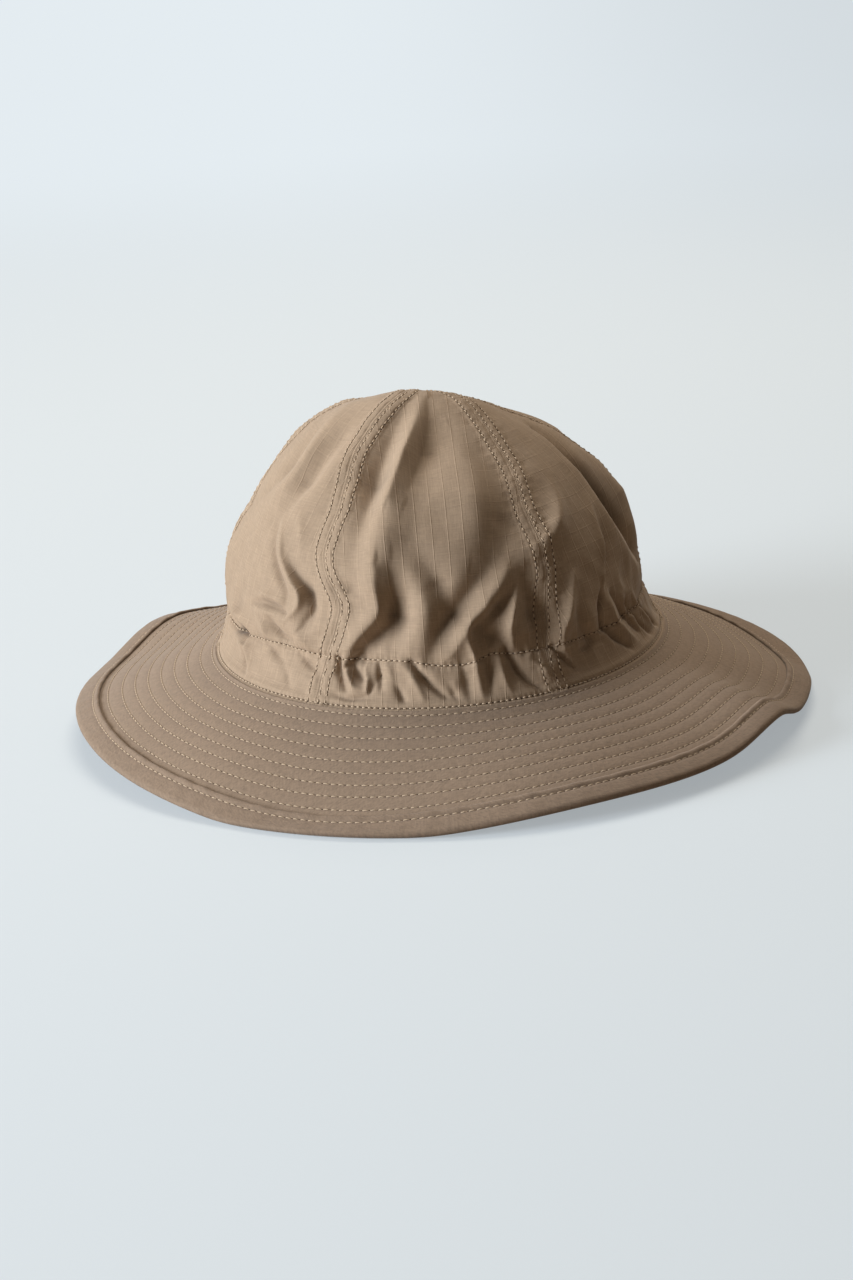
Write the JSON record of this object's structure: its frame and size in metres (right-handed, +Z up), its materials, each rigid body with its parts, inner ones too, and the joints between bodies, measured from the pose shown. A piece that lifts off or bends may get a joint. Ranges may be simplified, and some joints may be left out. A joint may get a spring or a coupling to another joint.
{
  "type": "boonie hat",
  "caption": "Soft cotton sun hat: a domed crown of tapered sewn panels over an elastic channel, and a wide drooping stitched brim bound at its edge.",
  "frame": {"origin": "middle of the hat's plan, at the level its brim rests on", "axes": "+Z up through the crown, -Y the front of the hat, +X the wearer's left"},
  "size_m": [0.3, 0.304, 0.1248],
  "materials": {
    "crown_cloth": "matte khaki ripstop cotton",
    "brim_cloth": "matte khaki cotton twill",
    "tape": "matte cotton tape",
    "sweatband_cloth": "matte cotton",
    "interlining": "matte stiffened cotton",
    "elastic": "matte ribbed elastic"
  },
  "bodies": {
    "root": {"crown_panel_front": "crown_cloth", "crown_panel_front_left": "crown_cloth", "crown_panel_back_left": "crown_cloth", "crown_panel_back": "crown_cloth", "crown_panel_back_right": "crown_cloth", "crown_panel_front_right": "crown_cloth", "seam_tape_front_left": "tape", "seam_tape_back_left": "tape", "seam_tape_back_right": "tape", "seam_tape_front_right": "tape", "seam_tape_side_to_side": "tape", "brim_upper": "brim_cloth", "brim_interlining": "interlining", "brim_lower": "brim_cloth", "brim_binding": "brim_cloth", "elastic_band": "elastic", "sweatband": "sweatband_cloth"}
  },
  "joints": []
}
